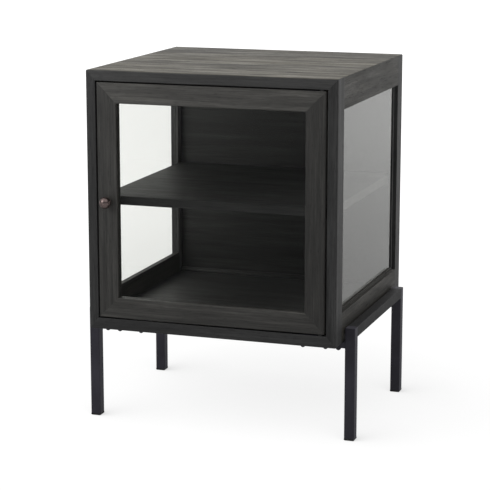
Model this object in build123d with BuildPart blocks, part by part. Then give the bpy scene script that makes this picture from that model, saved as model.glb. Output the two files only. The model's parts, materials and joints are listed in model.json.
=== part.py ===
"""Glass-sided display cabinet on a square-tube steel base, in millimetres.

Axes: +X to the right, +Y to the back, +Z up.  The origin is at the bottom centre of the
whole object's box, so the feet stand on z = 0.
"""
import os
from math import sqrt

from build123d import *

# ---------------------------------------------------------------- driving dimensions
case_width = 500
case_depth = 480
case_height = 506
case_lift = 194           # floor to the underside of the case
corner_radius = 2.5       # rounded outer edges of the case

side_thickness = 19
top_thickness = 20
bottom_thickness = 22

side_front_stile = 41     # widths of the side frames' members
side_rear_stile = 36
side_rail = 60
lip_depth = 8             # outer face to the small step round the side glass
step_depth = 4
step_width = 4
glass_thickness = 3
rebate_width = 7          # bearing of a glass pane behind its frame
glass_play = 0.5

back_set = 459            # front face of the case to the back panel
back_thickness = 9
back_tongue = 5.5         # depth of the groove that holds the back panel
bead_height = 8           # bead along the foot of the back panel
bead_slope = 0.4          # its narrow faces, as a share of its height
cut_over = 1              # how far a through cut runs past the wood

shelf_thickness = 17
shelf_level = 261         # top of the shelf above the underside of the case
shelf_set = 26            # front face of the case to the shelf's front edge
shelf_end_gap = 0.5
shelf_pin_radius = 2.5
shelf_pin_length = 16
shelf_pin_sink = 8
shelf_pin_bevel = 0.5
shelf_under_radius = 1    # lower front edge of the shelf

door_thickness = 18
door_member = 39.5
door_gap = 3
door_hinge_gap = 3.5
door_edge_radius = 1.5
door_hinge_radius = 4     # the hinge-side front edge, rounded for the swing
door_lip = 8              # front face of the door to its glass

stop_thickness = 9.5      # strip under the top that the door closes towards
stop_height = 8
stop_gap = 0.5
stop_bevel = 1
stop_hinge_clear = 18.5   # strip's end to the pivot axis, outside the door's swing

hinge_in = 9              # door's hinge edge to the pivot axis
hinge_back = 7            # door's front face to the pivot axis
leaf_length = 50
leaf_width = 11
leaf_thickness = 2.5
leaf_screw_shares = (0.28, 0.68)
pivot_radius = 2.5
pivot_clearance = 0.05
pivot_wood_clearance = 0.5
pivot_reach = 8           # depth of the pivot in the door's wood
pivot_end_gap = 1
washer_radius = 5.5
washer_play = 0.3

knob_reach = 24
knob_radius = 11.5        # radius of the knob's ball
knob_neck = 5
knob_foot = 7
knob_rim = 1.2
knob_screw_radius = 2
knob_screw_depth = 13
knob_screw_head_radius = 4
knob_screw_head_height = 2.5
knob_screw_head_round = 1

tube = 20                 # square steel tube of the base
tube_wall = 1.5
tube_corner = 1.5
base_side_gap = 3         # case side to the legs
base_front_set = 52
base_rear_set = 54
rail_drop = 8             # underside of the case to the underside of the side rails
bar_height = 12           # cross bars under the case
glide_height = 4
glide_plug = 14
glide_bevel = 1.5

base_screw_insets = (12.5, 38, 83)
base_screw_radius = 3
base_screw_bite = 15
base_screw_clearance = 0.25
base_head_radius = 5
base_head_height = 5.5
base_head_rim = 1.65
base_head_dome = 6.5
base_recess_length = 5    # cross recess in each head
base_recess_width = 1
base_recess_depth = 2.5
base_washer_radius = 6
base_washer_thickness = 1.5

small_shank = 1.5         # countersunk screws of the hinges and the catch
small_head = 3
small_head_height = 1.7
small_length = 14

catch_size = (14, 14, 46)
catch_drop = 16           # underside of the shelf to the top of the catch
catch_round = 2
catch_screw_inset = 4
catch_screw_share = 0.42
magnet_size = (6, 8, 30)
strike_thickness = 1.2
strike_size = (12, 40)
strike_play = 0.3
strike_inset = 1
strike_round = 1.5
strike_screw_share = 0.35

# ---------------------------------------------------------------- derived places
left_x = -case_width / 2
right_x = case_width / 2
inner_x = right_x - side_thickness
front_y = knob_reach / 2 - case_depth / 2
back_y = front_y + case_depth
under_z = case_lift
over_z = case_lift + case_height
floor_z = under_z + bottom_thickness
ceiling_z = over_z - top_thickness

glass_depth = lip_depth + step_depth
opening_y = (front_y + side_front_stile, back_y - side_rear_stile)
opening_z = (under_z + side_rail, over_z - side_rail)
step_y = (opening_y[0] + step_width, opening_y[1] - step_width)
step_z = (opening_z[0] + step_width, opening_z[1] - step_width)
pocket_y = (step_y[0] - rebate_width, step_y[1] + rebate_width)
pocket_z = (step_z[0] - rebate_width, step_z[1] + rebate_width)

panel_y = (front_y + back_set, front_y + back_set + back_thickness)
shelf_z = (under_z + shelf_level - shelf_thickness, under_z + shelf_level)
shelf_y = (front_y + shelf_set, panel_y[0] - shelf_end_gap)
pin_y = (shelf_y[0] + 2 * shelf_pin_radius, (pocket_y[1] + panel_y[0]) / 2)

door_x = (-inner_x + door_gap, inner_x - door_hinge_gap)
door_y = (front_y, front_y + door_thickness)
door_z = (floor_z + door_gap, ceiling_z - door_gap)
pane_x = (door_x[0] + door_member, door_x[1] - door_member)
pane_z = (door_z[0] + door_member, door_z[1] - door_member)
seat_x = (pane_x[0] - rebate_width, pane_x[1] + rebate_width)
seat_z = (pane_z[0] - rebate_width, pane_z[1] + rebate_width)

pivot_x = door_x[1] - hinge_in
pivot_y = front_y + hinge_back
leaf_x = pivot_x + leaf_width / 2 - leaf_length / 2
leaf_screw_x = [pivot_x - share * leaf_length for share in leaf_screw_shares]

stop_x = (-inner_x, pivot_x - stop_hinge_clear)
stop_y = (door_y[1] + stop_gap, door_y[1] + stop_gap + stop_thickness)
stop_z = (ceiling_z - stop_height, ceiling_z)

knob_x = door_x[0] + door_member / 2
knob_z = (under_z + over_z) / 2

leg_x = right_x + base_side_gap + tube / 2
leg_y = (front_y + base_front_set + tube / 2, back_y - base_rear_set - tube / 2)
rail_z = (under_z + rail_drop, under_z + rail_drop + tube)
bar_z = (under_z - bar_height, under_z)
base_screws = [
    (side * (right_x - inset), y)
    for side in (-1, 1)
    for inset in base_screw_insets
    for y in leg_y
]

catch_x = (-inner_x, -inner_x + catch_size[0])
catch_front = door_y[1] + strike_thickness + strike_play
catch_y = (catch_front, catch_front + catch_size[1])
catch_top = shelf_z[0] - catch_drop
catch_z = (catch_top - catch_size[2], catch_top)
catch_mid_z = sum(catch_z) / 2
catch_screw_rise = catch_screw_share * catch_size[2]
catch_screw_places = [
    (catch_x[1], catch_y[1] - catch_screw_inset, catch_mid_z + side * catch_screw_rise)
    for side in (-1, 1)
]
strike_x = (door_x[0] + strike_inset, door_x[0] + strike_inset + strike_size[0])
strike_z = (catch_mid_z - strike_size[1] / 2, catch_mid_z + strike_size[1] / 2)
strike_screw_rise = strike_screw_share * strike_size[1]
strike_screw_places = [
    (sum(strike_x) / 2, door_y[1] + strike_thickness, catch_mid_z + side * strike_screw_rise)
    for side in (-1, 1)
]

os.makedirs("parts", exist_ok=True)


# ---------------------------------------------------------------- shared shapes
def save(piece, name):
    """Label a finished piece and write it as its own file."""
    piece.part.label = name
    export_step(piece.part, f"parts/{name}.step")


def block(x, y, z, mode=Mode.ADD):
    """A box between low and high limits along each axis."""
    with Locations(((x[0] + x[1]) / 2, (y[0] + y[1]) / 2, (z[0] + z[1]) / 2)):
        Box(x[1] - x[0], y[1] - y[0], z[1] - z[0], mode=mode)


def rod(start, towards, radius, length, mode=Mode.ADD):
    """A round bar from a start point along a direction."""
    with Locations(Plane(origin=start, z_dir=towards)):
        Cylinder(radius, length, align=(Align.CENTER, Align.CENTER, Align.MIN), mode=mode)


def prism_along_y(outline, y, mode=Mode.ADD):
    """An outline of (x, z) points, filled between two places along Y."""
    with BuildSketch(Plane.XZ.offset(-y[1])) as section:
        with BuildLine():
            Polyline(*outline, close=True)
        make_face()
    extrude(section.sketch, amount=y[1] - y[0], mode=mode)


def prism_along_x(outline, x, mode=Mode.ADD):
    """An outline of (y, z) points, filled between two places along X."""
    with BuildSketch(Plane.YZ.offset(x[0])) as section:
        with BuildLine():
            Polyline(*outline, close=True)
        make_face()
    extrude(section.sketch, amount=x[1] - x[0], mode=mode)


def mitred_outlines(outer_a, outer_b, inner_a, inner_b):
    """The four mitred sides of a frame between two nested rectangles."""
    (oa, ob), (pa, pb) = outer_a, outer_b
    (ia, ib), (ja, jb) = inner_a, inner_b
    return {
        "low": [(oa, pa), (ia, ja), (ia, jb), (oa, pb)],
        "high": [(ob, pa), (ib, ja), (ib, jb), (ob, pb)],
        "bottom": [(oa, pa), (ob, pa), (ib, ja), (ia, ja)],
        "top": [(oa, pb), (ob, pb), (ib, jb), (ia, jb)],
    }


def side_span(side, depth_from, depth_to):
    """X limits of a layer of one side frame, measured in from its outer face."""
    return tuple(sorted((side * (right_x - depth_from), side * (right_x - depth_to))))


def small_screw(head, towards, mode=Mode.ADD):
    """A countersunk wood screw, or the hole that it fills."""
    with Locations(Plane(origin=head, z_dir=towards)):
        Cone(
            small_head,
            small_shank,
            small_head_height,
            align=(Align.CENTER, Align.CENTER, Align.MIN),
            mode=mode,
        )
        Cylinder(
            small_shank,
            small_length,
            align=(Align.CENTER, Align.CENTER, Align.MIN),
            mode=mode,
        )


def leaf(z, mode=Mode.ADD):
    """A round-ended hinge leaf, or the mortise that it lies in."""
    with BuildSketch(Plane.XY.offset(z[0])) as slot:
        with Locations((leaf_x, pivot_y)):
            SlotOverall(leaf_length, leaf_width)
    extrude(slot.sketch, amount=z[1] - z[0], mode=mode)


hinges = {
    "upper": {
        "case": (ceiling_z, ceiling_z + leaf_thickness),
        "door": (door_z[1] - leaf_thickness, door_z[1]),
        "into_case": (0, 0, 1),
        "into_door": (0, 0, -1),
        "case_face": ceiling_z,
        "door_face": door_z[1],
    },
    "lower": {
        "case": (floor_z - leaf_thickness, floor_z),
        "door": (door_z[0], door_z[0] + leaf_thickness),
        "into_case": (0, 0, -1),
        "into_door": (0, 0, 1),
        "case_face": floor_z,
        "door_face": door_z[0],
    },
}

# ---------------------------------------------------------------- wooden case
# The case is shaped as one shell, with its grooves, rebates and holes, then parted
# into boards along its mitres and joints.
with BuildPart() as case_shell:
    block((left_x, right_x), (front_y, back_y), (under_z, over_z))
    fillet(case_shell.edges(), corner_radius)
    block(
        (-inner_x, inner_x),
        (front_y - cut_over, back_y + cut_over),
        (floor_z, ceiling_z),
        Mode.SUBTRACT,
    )
    block(
        (-inner_x - back_tongue, inner_x + back_tongue),
        panel_y,
        (floor_z - back_tongue, ceiling_z + back_tongue),
        Mode.SUBTRACT,
    )
    for side in (-1, 1):
        block(side_span(side, 0, lip_depth), opening_y, opening_z, Mode.SUBTRACT)
        block(side_span(side, lip_depth, glass_depth), step_y, step_z, Mode.SUBTRACT)
        block(side_span(side, glass_depth, side_thickness), pocket_y, pocket_z, Mode.SUBTRACT)
        for y in pin_y:
            rod(
                (side * inner_x, y, shelf_z[0] - shelf_pin_radius),
                (side, 0, 0),
                shelf_pin_radius,
                shelf_pin_sink,
                Mode.SUBTRACT,
            )
    for x, y in base_screws:
        rod((x, y, under_z), (0, 0, 1), base_screw_radius, base_screw_bite, Mode.SUBTRACT)
    for hinge in hinges.values():
        leaf(hinge["case"], Mode.SUBTRACT)
        for x in leaf_screw_x:
            small_screw((x, pivot_y, hinge["case_face"]), hinge["into_case"], Mode.SUBTRACT)
    for place in catch_screw_places:
        small_screw(place, (-1, 0, 0), Mode.SUBTRACT)

with BuildPart() as top_panel:
    prism_along_y(
        [(left_x, over_z), (right_x, over_z), (inner_x, ceiling_z), (-inner_x, ceiling_z)],
        (front_y, back_y),
    )
    add(case_shell.part, mode=Mode.INTERSECT)
save(top_panel, "top_panel")

with BuildPart() as bottom_panel:
    prism_along_y(
        [(left_x, under_z), (right_x, under_z), (inner_x, floor_z), (-inner_x, floor_z)],
        (front_y, back_y),
    )
    add(case_shell.part, mode=Mode.INTERSECT)
save(bottom_panel, "bottom_panel")

for name, side in (("left", -1), ("right", 1)):
    outer = side * right_x
    inner = side * inner_x
    step_x = side_span(side, lip_depth, glass_depth)
    stile = [(outer, under_z), (inner, floor_z), (inner, ceiling_z), (outer, over_z)]

    with BuildPart() as front_stile:
        prism_along_y(stile, (front_y, opening_y[0]))
        block(step_x, (opening_y[0], step_y[0]), opening_z)
        add(case_shell.part, mode=Mode.INTERSECT)
    save(front_stile, f"{name}_front_stile")

    with BuildPart() as rear_stile:
        prism_along_y(stile, (opening_y[1], back_y))
        block(step_x, (step_y[1], opening_y[1]), opening_z)
        add(case_shell.part, mode=Mode.INTERSECT)
    save(rear_stile, f"{name}_rear_stile")

    with BuildPart() as top_rail:
        prism_along_y(
            [(outer, opening_z[1]), (inner, opening_z[1]), (inner, ceiling_z), (outer, over_z)],
            opening_y,
        )
        block(step_x, step_y, (step_z[1], opening_z[1]))
        add(case_shell.part, mode=Mode.INTERSECT)
    save(top_rail, f"{name}_top_rail")

    with BuildPart() as bottom_rail:
        prism_along_y(
            [(outer, under_z), (inner, floor_z), (inner, opening_z[0]), (outer, opening_z[0])],
            opening_y,
        )
        block(step_x, step_y, (opening_z[0], step_z[0]))
        add(case_shell.part, mode=Mode.INTERSECT)
    save(bottom_rail, f"{name}_bottom_rail")

    with BuildPart() as side_glass:
        block(
            side_span(side, glass_depth, glass_depth + glass_thickness),
            (pocket_y[0] + glass_play, pocket_y[1] - glass_play),
            (pocket_z[0] + glass_play, pocket_z[1] - glass_play),
        )
    save(side_glass, f"{name}_glass")

    beads = mitred_outlines(pocket_y, pocket_z, step_y, step_z)
    bead_x = side_span(side, glass_depth + glass_thickness, side_thickness)
    for part_name, outline in zip(("front", "rear", "bottom", "top"), beads.values()):
        with BuildPart() as bead:
            prism_along_x(outline, bead_x)
        save(bead, f"{name}_{part_name}_bead")

with BuildPart() as back_panel:
    tongue = back_tongue - glass_play
    block(
        (-inner_x - tongue, inner_x + tongue),
        panel_y,
        (floor_z - tongue, ceiling_z + tongue),
    )
save(back_panel, "back_panel")

with BuildPart() as back_bead:
    prism_along_x(
        [
            (panel_y[0], floor_z),
            (panel_y[0], floor_z + bead_height),
            (panel_y[0] - bead_slope * bead_height, floor_z + bead_height),
            (panel_y[0] - bead_height, floor_z + bead_slope * bead_height),
            (panel_y[0] - bead_height, floor_z),
        ],
        (-inner_x, inner_x),
    )
save(back_bead, "back_bead")

with BuildPart() as door_stop:
    block(stop_x, stop_y, stop_z)
    chamfer(door_stop.faces().sort_by(Axis.Z)[0].edges().filter_by(Axis.X), stop_bevel)
save(door_stop, "door_stop")

with BuildPart() as shelf:
    block((-inner_x + shelf_end_gap, inner_x - shelf_end_gap), shelf_y, shelf_z)
    front_edges = shelf.faces().sort_by(Axis.Y)[0].edges().filter_by(Axis.X)
    fillet(front_edges.sort_by(Axis.Z)[-1], corner_radius)
    fillet(shelf.faces().sort_by(Axis.Z)[0].edges().sort_by(Axis.Y)[0], shelf_under_radius)
save(shelf, "shelf")

with BuildPart() as shelf_pins:
    for side in (-1, 1):
        for y in pin_y:
            rod(
                (side * (inner_x + shelf_pin_sink), y, shelf_z[0] - shelf_pin_radius),
                (-side, 0, 0),
                shelf_pin_radius,
                shelf_pin_length,
            )
    chamfer(shelf_pins.edges().filter_by(GeomType.CIRCLE), shelf_pin_bevel)
save(shelf_pins, "shelf_pins")

# ---------------------------------------------------------------- steel base
for name, side in (("left", -1), ("right", 1)):
    x = (side * leg_x - tube / 2, side * leg_x + tube / 2)
    bore_x = (x[0] + tube_wall, x[1] - tube_wall)
    for place, y in zip(("front", "rear"), leg_y):
        with BuildPart() as leg:
            block(x, (y - tube / 2, y + tube / 2), (glide_height, rail_z[1]))
            fillet(leg.edges().filter_by(Axis.Z), tube_corner)
            block(
                bore_x,
                (y - tube / 2 + tube_wall, y + tube / 2 - tube_wall),
                (glide_height, rail_z[1] - tube_wall),
                Mode.SUBTRACT,
            )
        save(leg, f"{name}_{place}_leg")

    with BuildPart() as side_bar:
        span_y = (leg_y[0] + tube / 2, leg_y[1] - tube / 2)
        block(x, span_y, rail_z)
        fillet(side_bar.edges().filter_by(Axis.Y), tube_corner)
        block(bore_x, span_y, (rail_z[0] + tube_wall, rail_z[1] - tube_wall), Mode.SUBTRACT)
    save(side_bar, f"{name}_base_rail")

for place, y in zip(("front", "rear"), leg_y):
    with BuildPart() as cross_bar:
        span_x = (-leg_x + tube / 2, leg_x - tube / 2)
        block(span_x, (y - tube / 2, y + tube / 2), bar_z)
        fillet(cross_bar.edges().filter_by(Axis.X), tube_corner)
        block(
            span_x,
            (y - tube / 2 + tube_wall, y + tube / 2 - tube_wall),
            (bar_z[0] + tube_wall, bar_z[1] - tube_wall),
            Mode.SUBTRACT,
        )
        for screw_x, screw_y in base_screws:
            if screw_y == y:
                rod(
                    (screw_x, y, bar_z[0]),
                    (0, 0, 1),
                    base_screw_radius + base_screw_clearance,
                    bar_height,
                    Mode.SUBTRACT,
                )
    save(cross_bar, f"{place}_cross_bar")

with BuildPart() as foot_glides:
    for side in (-1, 1):
        for y in leg_y:
            x = side * leg_x
            half = tube / 2
            plug = half - tube_wall
            block((x - half, x + half), (y - half, y + half), (0, glide_height))
            block((x - plug, x + plug), (y - plug, y + plug), (glide_height, glide_plug))
    chamfer(foot_glides.edges().group_by(Axis.Z)[0], glide_bevel)
save(foot_glides, "foot_glides")

with BuildPart() as base_washers:
    for x, y in base_screws:
        start = (x, y, bar_z[0] - base_washer_thickness)
        rod(start, (0, 0, 1), base_washer_radius, base_washer_thickness)
        hole = base_screw_radius + base_screw_clearance
        rod(start, (0, 0, 1), hole, base_washer_thickness, Mode.SUBTRACT)
save(base_washers, "base_washers")

with BuildPart() as base_screw_set:
    seat = bar_z[0] - base_washer_thickness
    shank = bar_height + base_washer_thickness + base_screw_bite
    recess = (base_recess_length, base_recess_width)
    for x, y in base_screws:
        with BuildSketch(Plane(origin=(x, y, seat), x_dir=(1, 0, 0), z_dir=(0, -1, 0))):
            with BuildLine():
                Polyline(
                    (0, -base_head_height),
                    (0, shank),
                    (base_screw_radius, shank),
                    (base_screw_radius, 0),
                    (base_head_radius, 0),
                    (base_head_radius, -base_head_rim),
                )
                RadiusArc(
                    (base_head_radius, -base_head_rim),
                    (0, -base_head_height),
                    base_head_dome,
                )
            make_face()
        revolve(axis=Axis((x, y, seat), (0, 0, 1)))
        for slot_x, slot_y in (recess, recess[::-1]):
            block(
                (x - slot_x / 2, x + slot_x / 2),
                (y - slot_y / 2, y + slot_y / 2),
                (seat - base_head_height, seat - base_head_height + base_recess_depth),
                Mode.SUBTRACT,
            )
save(base_screw_set, "base_screws")

# ---------------------------------------------------------------- hinges and catch
for name, hinge in hinges.items():
    with BuildPart() as case_leaf:
        leaf(hinge["case"])
        for x in leaf_screw_x:
            small_screw((x, pivot_y, hinge["case_face"]), hinge["into_case"], Mode.SUBTRACT)
        bore = (pivot_x, pivot_y, hinge["case_face"])
        rod(bore, hinge["into_case"], pivot_radius, leaf_thickness, Mode.SUBTRACT)
    save(case_leaf, f"{name}_hinge_case_leaf")

    with BuildPart() as door_leaf:
        leaf(hinge["door"])
        for x in leaf_screw_x:
            small_screw((x, pivot_y, hinge["door_face"]), hinge["into_door"], Mode.SUBTRACT)
        bore = (pivot_x, pivot_y, hinge["door_face"])
        radius = pivot_radius + pivot_clearance
        rod(bore, hinge["into_door"], radius, leaf_thickness, Mode.SUBTRACT)
    save(door_leaf, f"{name}_hinge_door_leaf")

with BuildPart() as hinge_pins:
    pin_length = 2 * leaf_thickness + door_gap + pivot_reach - pivot_end_gap
    for hinge in hinges.values():
        start = hinge["case_face"] + leaf_thickness * hinge["into_case"][2]
        rod((pivot_x, pivot_y, start), hinge["into_door"], pivot_radius, pin_length)
save(hinge_pins, "hinge_pins")

with BuildPart() as hinge_washers:
    washer = door_gap - washer_play
    for hinge in hinges.values():
        start = (pivot_x, pivot_y, hinge["case_face"])
        rod(start, hinge["into_door"], washer_radius, washer)
        rod(start, hinge["into_door"], pivot_radius, washer, Mode.SUBTRACT)
save(hinge_washers, "hinge_washers")

with BuildPart() as hinge_case_screws:
    for hinge in hinges.values():
        for x in leaf_screw_x:
            small_screw((x, pivot_y, hinge["case_face"]), hinge["into_case"])
save(hinge_case_screws, "hinge_case_screws")

with BuildPart() as hinge_door_screws:
    for hinge in hinges.values():
        for x in leaf_screw_x:
            small_screw((x, pivot_y, hinge["door_face"]), hinge["into_door"])
save(hinge_door_screws, "hinge_door_screws")

magnet_x = (sum(catch_x) / 2 - magnet_size[0] / 2, sum(catch_x) / 2 + magnet_size[0] / 2)
magnet_y = (catch_y[0], catch_y[0] + magnet_size[1])
magnet_z = (catch_mid_z - magnet_size[2] / 2, catch_mid_z + magnet_size[2] / 2)

with BuildPart() as catch_body:
    block(catch_x, catch_y, catch_z)
    fillet(catch_body.edges().filter_by(Axis.X), catch_round)
    block(magnet_x, magnet_y, magnet_z, Mode.SUBTRACT)
    for place in catch_screw_places:
        small_screw(place, (-1, 0, 0), Mode.SUBTRACT)
save(catch_body, "catch_body")

with BuildPart() as catch_magnet:
    block(magnet_x, magnet_y, magnet_z)
save(catch_magnet, "catch_magnet")

with BuildPart() as catch_screws:
    for place in catch_screw_places:
        small_screw(place, (-1, 0, 0))
save(catch_screws, "catch_screws")

with BuildPart() as strike_plate:
    block(strike_x, (door_y[1], door_y[1] + strike_thickness), strike_z)
    fillet(strike_plate.edges().filter_by(Axis.Y), strike_round)
    for place in strike_screw_places:
        small_screw(place, (0, -1, 0), Mode.SUBTRACT)
save(strike_plate, "strike_plate")

with BuildPart() as strike_screws:
    for place in strike_screw_places:
        small_screw(place, (0, -1, 0))
save(strike_screws, "strike_screws")

# ---------------------------------------------------------------- door
with BuildPart() as door_shell:
    block(door_x, door_y, door_z)
    front_uprights = door_shell.faces().sort_by(Axis.Y)[0].edges().filter_by(Axis.Z)
    fillet(front_uprights.sort_by(Axis.X)[-1], door_hinge_radius)
    front_edges = door_shell.faces().sort_by(Axis.Y)[0].edges().sort_by(Axis.X)[:-1]
    fillet(front_edges, door_edge_radius)
    block(pane_x, (door_y[0] - cut_over, door_y[1] + cut_over), pane_z, Mode.SUBTRACT)
    front = door_shell.faces().sort_by(Axis.Y)[0]
    fillet(front.inner_wires()[0].edges(), door_edge_radius)
    block(seat_x, (door_y[0] + door_lip, door_y[1]), seat_z, Mode.SUBTRACT)
    for hinge in hinges.values():
        leaf(hinge["door"], Mode.SUBTRACT)
        for x in leaf_screw_x:
            small_screw((x, pivot_y, hinge["door_face"]), hinge["into_door"], Mode.SUBTRACT)
        depth = leaf_thickness + pivot_reach
        radius = pivot_radius + pivot_wood_clearance
        bore = (pivot_x, pivot_y, hinge["door_face"])
        rod(bore, hinge["into_door"], radius, depth, Mode.SUBTRACT)
    rod((knob_x, door_y[0], knob_z), (0, 1, 0), knob_screw_radius, door_thickness, Mode.SUBTRACT)
    for place in strike_screw_places:
        small_screw(place, (0, -1, 0), Mode.SUBTRACT)

door_members = mitred_outlines(door_x, door_z, pane_x, pane_z)
door_names = ("door_knob_stile", "door_hinge_stile", "door_bottom_rail", "door_top_rail")
for name, outline in zip(door_names, door_members.values()):
    with BuildPart() as member:
        prism_along_y(outline, door_y)
        add(door_shell.part, mode=Mode.INTERSECT)
    save(member, name)

pane_front = door_y[0] + door_lip
with BuildPart() as door_glass:
    block(
        (seat_x[0] + glass_play, seat_x[1] - glass_play),
        (pane_front, pane_front + glass_thickness),
        (seat_z[0] + glass_play, seat_z[1] - glass_play),
    )
save(door_glass, "door_glass")

door_beads = mitred_outlines(seat_x, seat_z, pane_x, pane_z)
bead_names = ("door_knob_bead", "door_hinge_bead", "door_bottom_bead", "door_top_bead")
for name, outline in zip(bead_names, door_beads.values()):
    with BuildPart() as bead:
        prism_along_y(outline, (pane_front + glass_thickness, door_y[1]))
    save(bead, name)

# The knob is a ball that meets its foot in a narrow neck.
knob_centre = (knob_x, front_y, knob_z)
knob_widest = knob_reach - knob_radius
knob_waist = knob_widest - sqrt(knob_radius**2 - knob_neck**2)
with BuildPart() as knob:
    with BuildSketch(Plane(origin=knob_centre, x_dir=(1, 0, 0), z_dir=(0, 0, 1))):
        with BuildLine():
            Polyline(
                (0, -knob_reach),
                (0, 0),
                (knob_foot, 0),
                (knob_foot, -knob_rim),
                (knob_neck, -knob_waist),
            )
            ThreePointArc((knob_neck, -knob_waist), (knob_radius, -knob_widest), (0, -knob_reach))
        make_face()
    revolve(axis=Axis(knob_centre, (0, 1, 0)))
    rod(knob_centre, (0, -1, 0), knob_screw_radius, knob_screw_depth, Mode.SUBTRACT)
save(knob, "knob")

with BuildPart() as knob_screw:
    tip = (knob_x, front_y - knob_screw_depth, knob_z)
    rod(tip, (0, 1, 0), knob_screw_radius, knob_screw_depth + door_thickness)
    rod(
        (knob_x, door_y[1], knob_z),
        (0, 1, 0),
        knob_screw_head_radius,
        knob_screw_head_height,
    )
    fillet(knob_screw.faces().sort_by(Axis.Y)[-1].edges(), knob_screw_head_round)
save(knob_screw, "knob_screw")
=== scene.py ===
"""Looks of the glass-sided display cabinet: its stained wood, glass and steel, on a pale studio floor.

Everything is in metres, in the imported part's own frame: +X to the right, +Y to the back, +Z up.
"""
import json
import math
import random

import bpy
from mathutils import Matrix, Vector


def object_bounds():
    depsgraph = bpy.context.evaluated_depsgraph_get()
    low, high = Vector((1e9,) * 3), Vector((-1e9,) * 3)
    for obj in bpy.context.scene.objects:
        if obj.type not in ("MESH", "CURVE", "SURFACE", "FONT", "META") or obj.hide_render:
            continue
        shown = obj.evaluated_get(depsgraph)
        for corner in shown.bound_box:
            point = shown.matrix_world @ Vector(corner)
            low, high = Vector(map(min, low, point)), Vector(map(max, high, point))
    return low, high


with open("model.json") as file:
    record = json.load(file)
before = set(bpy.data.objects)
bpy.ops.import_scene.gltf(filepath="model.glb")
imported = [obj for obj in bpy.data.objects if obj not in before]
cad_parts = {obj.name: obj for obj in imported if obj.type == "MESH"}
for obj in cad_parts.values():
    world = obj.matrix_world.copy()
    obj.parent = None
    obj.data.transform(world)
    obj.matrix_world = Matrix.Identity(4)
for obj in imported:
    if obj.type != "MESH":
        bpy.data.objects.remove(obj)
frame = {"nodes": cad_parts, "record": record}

cad_low, cad_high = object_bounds()
centre = (cad_low + cad_high) / 2
MM = 0.001

# ---------------------------------------------------------------- camera
view_azimuth = 18.84      # degrees round from the front, towards the right
view_elevation = 11.68    # degrees above the horizon
view_distance = 3.701
lens = 135.2
aim_right = -0.0067          # how far the view's middle passes from the object's centre
aim_up = -0.018


def camera():
    """The camera, aimed past the object's centre by the two aim offsets."""
    a = math.radians(view_azimuth)
    e = math.radians(view_elevation)
    back = Vector((math.sin(a) * math.cos(e), -math.cos(a) * math.cos(e), math.sin(e)))
    right = Vector((math.cos(a), math.sin(a), 0))
    up = back.cross(right)
    data = bpy.data.cameras.new("camera")
    data.sensor_width = 36
    data.lens = lens
    made = bpy.data.objects.new("camera", data)
    bpy.context.scene.collection.objects.link(made)
    made.location = centre + aim_right * right + aim_up * up + view_distance * back
    made.rotation_mode = "QUATERNION"
    made.rotation_quaternion = (-back).to_track_quat("-Z", "Y")
    bpy.context.scene.camera = made


# ---------------------------------------------------------------- light
all_glow = 0.02           # brightness of the surroundings, and what each side adds to it
top_glow = 1.2
back_glow = 0.56
corner_glow = 0.28        # behind, at the left
right_glow = 0.13
side_power = 3.0          # watts of the soft boxes at the left, one far and one near
near_power = 3.5
seen_white = 1.24         # what the camera sees behind the object and through its panes
shade_near = 1.05         # brightness of the floor as it is seen, near the object and far off
shade_far = 1.24
shadows = ((0.6, 0.29), (0.15, 0.3))    # each shadow's reach on it, and how much it takes off
shadow_lean = Vector((-0.5, -0.9, 1))   # where the light that casts them comes from
floor_near = 0.3          # the floor's brightness as the object is lit by it
floor_middle = 0.5
floor_far = 0.78


def area_light(name, place, size, power, aim=centre):
    """A soft box of a given size and power, turned to a point. It lights, but isn't seen itself."""
    data = bpy.data.lights.new(name, "AREA")
    data.shape = "RECTANGLE"
    data.size, data.size_y = size
    data.energy = power
    made = bpy.data.objects.new(name, data)
    bpy.context.scene.collection.objects.link(made)
    made.location = place
    made.rotation_mode = "QUATERNION"
    made.rotation_quaternion = (Vector(aim) - Vector(place)).to_track_quat("-Z", "Y")
    made.visible_camera = False
    return made


def studio():
    """Soft surroundings, brightest overhead and behind. The camera sees them as plain white."""
    world = bpy.data.worlds.new("studio")
    world.use_nodes = True
    bpy.context.scene.world = world
    s = Shader(world)
    direction = s.node("ShaderNodeTexCoord").outputs["Generated"]
    axes = s.node("ShaderNodeSeparateXYZ", {0: direction}).outputs
    glow = s.math("ADD", all_glow, s.spread(axes["Z"], 0.25, 1.0, 0, top_glow))
    glow = s.math("ADD", glow, s.spread(axes["Y"], -0.2, 0.95, 0, back_glow))
    glow = s.math("ADD", glow, s.spread(axes["X"], 0.1, 0.95, 0, right_glow))
    corner = s.math("MULTIPLY", s.spread(axes["X"], -0.22, -0.55), s.spread(axes["Y"], 0, 0.6))
    glow = s.math("MULTIPLY_ADD", corner, corner_glow, glow)
    lit = s.node("ShaderNodeBackground", {"Color": (1, 1, 1, 1), "Strength": glow}).outputs[0]
    seen = s.node("ShaderNodeBackground", {"Color": (1, 1, 1, 1), "Strength": seen_white}).outputs[0]
    s.feed(s.output.inputs["Surface"], s.unseen(seen, lit))
    area_light("side_soft_box", (-1.7, -1.5, 1.6), (1.0, 1.0), side_power)
    area_light("near_soft_box", (-0.95, -1.0, 1.0), (0.6, 0.6), near_power)
    bpy.context.scene.view_settings.view_transform = "Standard"


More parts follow.
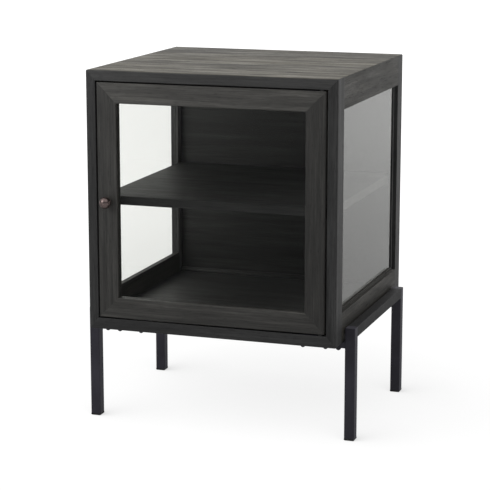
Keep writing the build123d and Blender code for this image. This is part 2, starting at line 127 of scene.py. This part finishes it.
# ---------------------------------------------------------------- materials
class Shader:
    """A material and its node tree, with short calls for the nodes that the finishes use."""

    def __init__(self, owner):
        if isinstance(owner, str):
            owner = bpy.data.materials.new(owner)
            owner.use_nodes = True
        self.material = owner
        self.tree = owner.node_tree
        self.surface = self.tree.nodes.get("Principled BSDF")
        self.output = self.tree.nodes.get("Material Output") or self.tree.nodes["World Output"]
        self.place = self.node("ShaderNodeTexCoord").outputs["Object"]

    def feed(self, socket, value):
        """Links an output to an input, or sets the input's own value."""
        if isinstance(value, bpy.types.NodeSocket):
            self.tree.links.new(value, socket)
        else:
            socket.default_value = value

    def node(self, kind, values=(), **settings):
        """A node with its settings and its inputs, the inputs by name or number."""
        made = self.tree.nodes.new(kind)
        for key, value in settings.items():
            setattr(made, key, value)
        for key, value in dict(values).items():
            self.feed(made.inputs[key], value)
        return made

    def math(self, operation, *values, clamp=False):
        made = self.node("ShaderNodeMath", enumerate(values), operation=operation, use_clamp=clamp)
        return made.outputs[0]

    def vector(self, operation, *values):
        made = self.node("ShaderNodeVectorMath", enumerate(values), operation=operation)
        return made.outputs["Value" if operation == "DOT_PRODUCT" else "Vector"]

    def noise(self, vector, detail=2.0, roughness=0.5, distortion=0.0):
        """Noise with a feature size of one unit of its vector, about 0.5 on average."""
        values = {"Vector": vector, "Scale": 1, "Detail": detail, "Roughness": roughness,
                  "Distortion": distortion}
        return self.node("ShaderNodeTexNoise", values).outputs[0]

    def spread(self, value, low, high, to_low=0.0, to_high=1.0):
        """A value's range from low to high, stretched smoothly over another range."""
        values = {"Value": value, "From Min": low, "From Max": high, "To Min": to_low,
                  "To Max": to_high}
        made = self.node("ShaderNodeMapRange", values, interpolation_type="SMOOTHSTEP")
        return made.outputs[0]

    def mix(self, share, a, b, blend="MIX"):
        made = self.node("ShaderNodeMix", data_type="RGBA", blend_type=blend)
        self.feed(made.inputs[0], share)
        self.feed(made.inputs[6], a)
        self.feed(made.inputs[7], b)
        return made.outputs[2]

    def blend(self, share, a, b):
        made = self.node("ShaderNodeMixShader", {0: share, 1: a, 2: b})
        return made.outputs[0]

    def unseen(self, seen, lit):
        """One shader for what is looked at, and another for what surfaces gather light from."""
        path = self.node("ShaderNodeLightPath").outputs
        gathered = self.blend(path["Is Diffuse Ray"], seen, lit)
        gathered = self.blend(path["Is Glossy Ray"], gathered, lit)
        return self.blend(path["Is Transmission Ray"], gathered, seen)

    def edges(self, radius, samples=4):
        """How strongly a place lies on one of the mesh's edges, and the normal rounded there."""
        rounded = self.node("ShaderNodeBevel", {"Radius": radius}, samples=samples).outputs[0]
        flat = self.node("ShaderNodeNewGeometry").outputs["Normal"]
        lean = self.math("SUBTRACT", 1, self.vector("DOT_PRODUCT", rounded, flat))
        return self.spread(lean, 0.01, 0.2), rounded

    def bump(self, height, distance, strength=1.0, normal=None):
        values = {"Height": height, "Distance": distance, "Strength": strength}
        if normal is not None:
            values["Normal"] = normal
        return self.node("ShaderNodeBump", values).outputs[0]


def grey(value, warmth=0.0):
    """A grey of a given linear brightness, warmer than neutral by its share."""
    return (value * (1 + 0.8 * warmth), value, value * (1 - 2 * warmth), 1)


def stained_wood(
    name, seed, along, across, stave=None, tone=1.0, warmth=0.04, figure=0.2, gloss=0.45, top=False
):
    """Charcoal-brown stained solid wood. Its grain runs along one axis, in staves set across.

    The tone scales its brightness, the figure is how strongly broad patches show in it, and a
    top has its figure on its upper face only. A top's upper face is also painted lighter and
    warmer than its edges: painted light, as if lit from above.
    """
    s = Shader(name)
    axes = s.node("ShaderNodeSeparateXYZ", {0: s.place}).outputs
    third = ({"X", "Y", "Z"} - {along, across}).pop()
    pick = random.Random(seed)
    length = s.math("ADD", axes[along], pick.uniform(1, 9))
    width = s.math("ADD", axes[across], pick.uniform(1, 9))
    depth = s.math("ADD", axes[third], pick.uniform(1, 9))
    tint = 0.5
    if stave:
        number = s.math("FLOOR", s.math("DIVIDE", width, stave))
        chance = s.node("ShaderNodeTexWhiteNoise", {"W": number}, noise_dimensions="1D")
        tint = chance.outputs["Value"]
        length = s.math("ADD", length, s.math("MULTIPLY", tint, 7))

    def grain(per_length, per_width, **noise):
        """Noise that is stretched along the grain, by its features per metre each way."""
        scaled = s.node(
            "ShaderNodeCombineXYZ",
            {
                0: s.math("MULTIPLY", length, per_length),
                1: s.math("MULTIPLY", width, per_width),
                2: s.math("MULTIPLY", depth, per_width),
            },
        )
        return s.noise(scaled.outputs[0], **noise)

    # A top's upper face: where its figure shows, and where it is painted lighter and warmer than its
    # edges.
    upper = 1
    if top:
        normal = s.node("ShaderNodeNewGeometry").outputs["Normal"]
        upper = s.spread(s.node("ShaderNodeSeparateXYZ", {0: normal}).outputs["Z"], 0.6, 0.9)
    bold = s.math("MULTIPLY", figure, upper)

    patches = grain(6, 42, detail=4, roughness=0.65, distortion=0.15)
    streaks = grain(5, 130, detail=4, roughness=0.6, distortion=0.3)
    fibres = grain(16, 480, detail=3, roughness=0.6)
    pores = s.spread(grain(60, 950, detail=1), 0.6, 0.72)
    checks = s.spread(grain(22, 130, detail=2, distortion=0.3), 0.66, 0.74)

    share = s.math("MULTIPLY_ADD", bold, 0.7, 0.7)
    level = s.math("MULTIPLY_ADD", s.math("SUBTRACT", streaks, 0.5), share, 0.5)
    level = s.math("MULTIPLY_ADD", s.math("SUBTRACT", fibres, 0.5), 0.6, level)
    share = s.math("MULTIPLY_ADD", bold, 1.3, 0.3)
    level = s.math("MULTIPLY_ADD", s.math("SUBTRACT", patches, 0.5), share, level)
    if stave:
        level = s.math("MULTIPLY_ADD", s.math("SUBTRACT", tint, 0.5), 0.3 * figure, level)
    ramp = s.node("ShaderNodeValToRGB", {0: level})
    stops = ramp.color_ramp.elements
    stops[0].position, stops[0].color = 0.2, grey(0.012 * tone, warmth)
    stops[1].position, stops[1].color = 0.8, grey(0.056 * tone, warmth)
    middle = stops.new(0.5)
    middle.color = grey(0.028 * tone, warmth)

    edge, rounded = s.edges(1.2 * MM)
    # Edges lightened where the patches allow: partly rubbed wear, partly a painted highlight along the
    # edges.
    rubbed_and_highlit = s.math("MULTIPLY", edge, s.spread(patches, 0.35, 0.7, 0.1, 0.45))
    colour = s.mix(s.math("MULTIPLY", pores, 0.45), ramp.outputs[0], grey(0.008 * tone))
    checks = s.math("MULTIPLY", checks, bold)
    colour = s.mix(s.math("MULTIPLY", checks, 0.9), colour, grey(0.004 * tone))
    colour = s.mix(rubbed_and_highlit, colour, grey(0.075 * tone, warmth))
    # Painted light: a top's edges are darkened and cooled, so its upper face shows as lit from above.
    if top:
        colour = s.mix(upper, s.mix(1, colour, (0.57, 0.65, 1.0, 1), "MULTIPLY"), colour)
    s.feed(s.surface.inputs["Base Color"], colour)
    smooth = s.math("MULTIPLY", s.math("SUBTRACT", patches, 0.5), bold)
    rough = s.math("MULTIPLY_ADD", smooth, -0.9, s.math("MULTIPLY_ADD", pores, 0.2, 0.5))
    rough = s.math("MULTIPLY_ADD", checks, 0.4, rough, clamp=True)
    s.feed(s.surface.inputs["Roughness"], rough)
    s.surface.inputs["Specular IOR Level"].default_value = gloss
    broad = s.math("MULTIPLY_ADD", patches, 3, s.math("MULTIPLY", streaks, 6))
    relief = s.math("MULTIPLY_ADD", pores, -1, s.math("MULTIPLY", fibres, 0.7))
    relief = s.math("MULTIPLY_ADD", broad, bold, relief)
    relief = s.math("MULTIPLY_ADD", checks, -2, relief)
    s.feed(s.surface.inputs["Normal"], s.bump(relief, 0.2 * MM, 0.6, rounded))
    return s.material


def powder_coat(name, dark, light, gloss):
    """Satin black powder coat with the fine orange peel of baked paint."""
    s = Shader(name)
    peel = s.noise(s.vector("MULTIPLY", s.place, (700, 700, 700)), detail=1)
    cloud = s.noise(s.vector("MULTIPLY", s.place, (18, 18, 18)), detail=3)
    edge, rounded = s.edges(0.6 * MM)
    colour = s.mix(s.spread(cloud, 0.3, 0.7), (*dark, 1), (*light, 1))
    worn = s.math("MULTIPLY", edge, 0.35)
    s.feed(s.surface.inputs["Base Color"], s.mix(worn, colour, (0.05, 0.05, 0.06, 1)))
    s.feed(s.surface.inputs["Roughness"], s.spread(cloud, 0.3, 0.7, 0.46, 0.56))
    s.surface.inputs["Specular IOR Level"].default_value = gloss
    s.feed(s.surface.inputs["Normal"], s.bump(peel, 0.06 * MM, 0.5, rounded))
    return s.material


def metal(name, dark, light, smoothest, roughest, scale):
    """A bare or patinated metal, clouded between two tones and two roughnesses."""
    s = Shader(name)
    cloud = s.noise(s.vector("MULTIPLY", s.place, (scale, scale, scale)), detail=4, roughness=0.6)
    fine = s.noise(s.vector("MULTIPLY", s.place, (2500, 2500, 2500)), detail=2)
    share = s.spread(cloud, 0.35, 0.65)
    edge, rounded = s.edges(0.25 * MM)
    colour = s.mix(share, (*dark, 1), (*light, 1))
    bright = tuple(min(1, 1.6 * c) for c in light)
    s.feed(s.surface.inputs["Base Color"], s.mix(s.math("MULTIPLY", edge, 0.4), colour, (*bright, 1)))
    s.feed(s.surface.inputs["Roughness"], s.spread(cloud, 0.3, 0.7, roughest, smoothest))
    s.surface.inputs["Metallic"].default_value = 1
    s.feed(s.surface.inputs["Normal"], s.bump(fine, 0.02 * MM, 0.4, rounded))
    return s.material


def black_plastic():
    """Moulded black plastic with a fine spark-eroded grain."""
    s = Shader("black_plastic")
    fine = s.noise(s.vector("MULTIPLY", s.place, (1400, 1400, 1400)), detail=2)
    cloud = s.noise(s.vector("MULTIPLY", s.place, (40, 40, 40)), detail=2)
    s.feed(s.surface.inputs["Base Color"], s.mix(cloud, grey(0.010), grey(0.018)))
    s.feed(s.surface.inputs["Roughness"], s.spread(cloud, 0.3, 0.7, 0.5, 0.62))
    s.feed(s.surface.inputs["Normal"], s.bump(fine, 0.08 * MM, 0.4))
    return s.material


def clear_glass(name, ior, tint):
    """A clear float-glass pane. Lamps shine through it."""
    s = Shader(name)
    s.surface.inputs["Base Color"].default_value = (*tint, 1)
    s.surface.inputs["Transmission Weight"].default_value = 1
    s.surface.inputs["IOR"].default_value = ior
    s.surface.inputs["Roughness"].default_value = 0
    clear = s.node("ShaderNodeBsdfTransparent", {"Color": (*tint, 1)}).outputs[0]
    path = s.node("ShaderNodeLightPath").outputs
    pane = s.blend(path["Is Shadow Ray"], s.surface.outputs[0], clear)
    s.feed(s.output.inputs["Surface"], s.unseen(pane, clear))
    return s.material


def floor_paint():
    """Plain white studio floor with a faint soft shadow, which lights the object less than it shows."""
    s = Shader("studio_floor")
    away = s.node("ShaderNodeVectorMath", {0: s.place}, operation="LENGTH").outputs["Value"]
    lean = s.node("ShaderNodeCombineXYZ", enumerate(shadow_lean.normalized())).outputs[0]
    shade = s.spread(away, 0.4, 2.5, shade_near, shade_far)
    for reach, depth in shadows:
        values = {"Distance": reach, "Normal": lean}
        reached = s.node("ShaderNodeAmbientOcclusion", values, samples=16).outputs["AO"]
        shade = s.math("MULTIPLY", shade, s.math("MULTIPLY_ADD", reached, depth, 1 - depth))
    seen = s.node("ShaderNodeEmission", {"Strength": shade}).outputs[0]
    glow = s.spread(away, 0.2, 1.8, floor_near, floor_middle)
    glow = s.math("ADD", glow, s.spread(away, 1.5, 5.5, 0, floor_far - floor_middle))
    lit = s.node("ShaderNodeEmission", {"Strength": glow}).outputs[0]
    s.feed(s.output.inputs["Surface"], s.unseen(seen, lit))
    return s.material


# ---------------------------------------------------------------- finishes by part
STAVE = 74 * MM
wood_of = {
    # The top's tone and warmth are painted light on its upper face; the edges are toned back down.
    "top_panel": {
        "axes": "XY", "stave": STAVE, "tone": 1.5, "warmth": 0.18, "figure": 1.0, "top": True,
    },
    "bottom_panel": {"axes": "XY", "stave": STAVE, "warmth": 0.0},
    # The shelf is toned darker than the other boards: painted shade for where it sits inside the case.
    "shelf": {
        "axes": "XY", "stave": STAVE, "tone": 0.6, "warmth": 0.0, "figure": 0.4, "gloss": 0.2,
    },
    "back_panel": {"axes": "XZ", "tone": 0.75, "warmth": 0.0},
    "back_bead": {"axes": "XY", "tone": 0.8, "warmth": 0.0},
    "door_stop": {"axes": "XZ"},
    # The left rear stile and bead are toned far lighter than the other wood: painted light falling on
    # them.
    "left_rear_stile": {"axes": "ZY", "tone": 2.2, "warmth": 0.0},
    "left_rear_bead": {"axes": "ZY", "tone": 3.0, "warmth": 0.0},
    # The door's rails are toned lighter than its stiles: a painted sheen of overhead light along their
    # level grain.
    "door_top_rail": {"axes": "XZ", "tone": 2.1},
    "door_bottom_rail": {"axes": "XZ", "tone": 1.5},
    "door_top_bead": {"axes": "XZ"},
    "door_bottom_bead": {"axes": "XZ"},
    # The knob stile is toned a little lighter than the hinge stile: painted light from the left.
    "door_knob_stile": {"axes": "ZX", "tone": 1.1},
    "door_hinge_stile": {"axes": "ZX"},
    "door_knob_bead": {"axes": "ZX"},
    "door_hinge_bead": {"axes": "ZX"},
}
wood_ending = {
    "stile": {"axes": "ZY", "warmth": 0.0, "gloss": 0.38},
    "front_bead": {"axes": "ZY"},
    "rear_bead": {"axes": "ZY"},
    "rail": {"axes": "YZ", "warmth": 0.08, "figure": 0.4, "gloss": 0.34},
    "bead": {"axes": "YZ"},
}


def wood(node):
    """How a wooden node's grain lies and how it is toned."""
    if node in wood_of:
        return wood_of[node]
    return next(look for ending, look in wood_ending.items() if node.endswith(ending))


def dress():
    """Gives every CAD node its finish."""
    plain = {
        "black_steel": powder_coat("leg_coat", (0.031, 0.0295, 0.040), (0.044, 0.0415, 0.056), 0.36),
        "aged_bronze": metal("aged_bronze", (0.14, 0.105, 0.10), (0.26, 0.2, 0.19), 0.26, 0.36, 160),
        "plated_steel": metal("plated_steel", (0.3, 0.3, 0.31), (0.5, 0.5, 0.5), 0.25, 0.42, 150),
        "black_plastic": black_plastic(),
    }
    # Painted shade: the base rails get a darker copy of the legs' coat, for the shade under the case.
    shaded_rail_coat = powder_coat("shaded_rail_coat", (0.010, 0.010, 0.0105), (0.014, 0.014, 0.0145), 0.22)
    side_glass = clear_glass("side_glass", 1.45, (0.975, 0.98, 0.955))
    door_glass = clear_glass("door_glass", 1.15, (0.96, 0.965, 0.955))
    for seed, part in enumerate(frame["record"]["subparts"]):
        node, slot = part["node"], part["material_slot"]
        if slot == "stained_wood":
            look = dict(wood(node))
            along, across = look.pop("axes")
            finish = stained_wood(f"wood_{node}", seed, along, across, **look)
        elif slot == "clear_glass":
            finish = door_glass if node == "door_glass" else side_glass
        # Base rails take the darker coat, which is painted shade.
        elif node.endswith("_base_rail"):
            finish = shaded_rail_coat
        else:
            finish = plain[slot]
        slots = frame["nodes"][node].data.materials
        slots.clear()
        slots.append(finish)
        frame["nodes"][node].visible_glossy = node != "right_rear_stile"


def floor():
    """A wide pale floor under the feet."""
    half = 30
    mesh = bpy.data.meshes.new("floor")
    corners = [(-half, -half), (half, -half), (half, half), (-half, half)]
    mesh.from_pydata([(x, y, cad_low.z) for x, y in corners], [], [(0, 1, 2, 3)])
    mesh.materials.append(floor_paint())
    made = bpy.data.objects.new("floor", mesh)
    bpy.context.scene.collection.objects.link(made)


camera()
studio()
dress()
floor()
